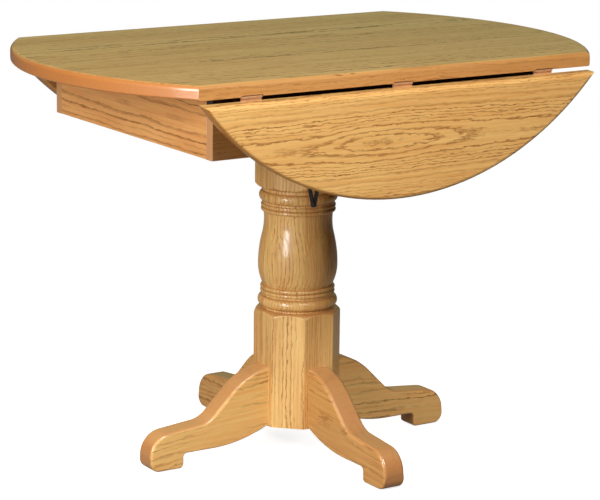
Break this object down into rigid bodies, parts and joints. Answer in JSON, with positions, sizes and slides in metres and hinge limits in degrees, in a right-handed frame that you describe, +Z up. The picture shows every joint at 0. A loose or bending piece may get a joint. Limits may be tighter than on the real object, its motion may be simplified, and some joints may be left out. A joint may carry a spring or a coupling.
{
  "type": "drop-leaf pedestal table",
  "caption": "Round oak dining table on a turned pedestal with scrolled legs; two leaves hang on hinges and are held up by folding stays.",
  "frame": {"origin": "on the floor under the column's axis", "axes": "+X along the hinge lines, +Z up; the front leaf hangs on the -Y side"},
  "size_m": [1.052, 0.6996, 0.762],
  "materials": {
    "oak_top": "golden oak, gloss lacquer",
    "oak_apron": "golden oak, gloss lacquer",
    "oak_column": "golden oak, turned and lacquered",
    "oak_leg": "golden oak, gloss lacquer",
    "hidden_wood": "poplar, sealed",
    "hinge_steel": "zinc-plated steel",
    "bolt_steel": "zinc-plated steel",
    "insert_brass": "turned brass",
    "stay_black": "black painted steel",
    "glide": "black nylon on a steel nail"
  },
  "bodies": {
    "table": {"top_centre": "oak_top", "apron_front": "oak_apron", "apron_back": "oak_apron", "apron_left": "oak_apron", "apron_right": "oak_apron", "corner_blocks": "hidden_wood", "batten_left": "hidden_wood", "batten_right": "hidden_wood", "mounting_plate": "hidden_wood", "column": "oak_column", "leg_left": "oak_leg", "leg_right": "oak_leg", "leg_front": "oak_leg", "leg_back": "oak_leg", "leg_bolts": "bolt_steel", "leg_washers": "bolt_steel", "leg_nuts": "bolt_steel", "column_screws": "bolt_steel", "plate_bolts": "bolt_steel", "plate_washers": "bolt_steel", "plate_inserts": "insert_brass", "batten_screws": "bolt_steel", "block_screws": "bolt_steel", "foot_glides": "glide", "hinge_front_left_top_flap": "hinge_steel", "hinge_front_middle_top_flap": "hinge_steel", "hinge_front_right_top_flap": "hinge_steel", "hinge_back_left_top_flap": "hinge_steel", "hinge_back_middle_top_flap": "hinge_steel", "hinge_back_right_top_flap": "hinge_steel", "hinge_pins": "hinge_steel", "top_screws": "hinge_steel", "stay_front_apron_bracket": "stay_black", "stay_back_apron_bracket": "stay_black", "stay_apron_rivets": "stay_black"},
    "leaf_front": {"leaf_front": "oak_top", "leaf_front_screws": "hinge_steel", "stay_front_leaf_bracket": "stay_black", "stay_front_leaf_rivet": "stay_black", "hinge_front_left_leaf_flap": "hinge_steel", "hinge_front_middle_leaf_flap": "hinge_steel", "hinge_front_right_leaf_flap": "hinge_steel"},
    "leaf_back": {"leaf_back": "oak_top", "leaf_back_screws": "hinge_steel", "stay_back_leaf_bracket": "stay_black", "stay_back_leaf_rivet": "stay_black", "hinge_back_left_leaf_flap": "hinge_steel", "hinge_back_middle_leaf_flap": "hinge_steel", "hinge_back_right_leaf_flap": "hinge_steel"},
    "stay_front_apron_arm": {"stay_front_apron_arm": "stay_black", "stay_front_elbow_rivet": "stay_black"},
    "stay_front_leaf_arm": {"stay_front_leaf_arm": "stay_black", "stay_front_elbow_head": "stay_black"},
    "stay_back_apron_arm": {"stay_back_apron_arm": "stay_black", "stay_back_elbow_rivet": "stay_black"},
    "stay_back_leaf_arm": {"stay_back_leaf_arm": "stay_black", "stay_back_elbow_head": "stay_black"}
  },
  "joints": [
    {"name": "leaf_front_hinge", "type": "hinge", "parent": "table", "child": "leaf_front", "pos_m": [0, -0.325, 0.736], "axis": [-1, 0, 0], "range_deg": [0, 94.5]},
    {"name": "stay_front_apron_pivot", "type": "hinge", "parent": "table", "child": "stay_front_apron_arm", "pos_m": [-0.16, -0.29, 0.642], "axis": [-1, 0, 0], "range_deg": [0, 115.2]},
    {"name": "stay_front_leaf_pivot", "type": "hinge", "parent": "leaf_front", "child": "stay_front_leaf_arm", "pos_m": [-0.16, -0.30699, 0.60913], "axis": [-1, 0, 0], "range_deg": [-147.62, 0]},
    {"name": "leaf_back_hinge", "type": "hinge", "parent": "table", "child": "leaf_back", "pos_m": [0, 0.325, 0.736], "axis": [1, 0, 0], "range_deg": [0, 94.5]},
    {"name": "stay_back_apron_pivot", "type": "hinge", "parent": "table", "child": "stay_back_apron_arm", "pos_m": [0.16, 0.29, 0.642], "axis": [1, 0, 0], "range_deg": [0, 115.2]},
    {"name": "stay_back_leaf_pivot", "type": "hinge", "parent": "leaf_back", "child": "stay_back_leaf_arm", "pos_m": [0.16, 0.30699, 0.60913], "axis": [1, 0, 0], "range_deg": [-147.62, 0]}
  ],
  "couplings": [
    {"joint": "stay_front_apron_pivot", "follows": "leaf_front_hinge", "ratio": 1.2189},
    {"joint": "stay_front_leaf_pivot", "follows": "leaf_front_hinge", "ratio": -1.5619},
    {"joint": "stay_back_apron_pivot", "follows": "leaf_back_hinge", "ratio": 1.2189},
    {"joint": "stay_back_leaf_pivot", "follows": "leaf_back_hinge", "ratio": -1.5619}
  ]
}
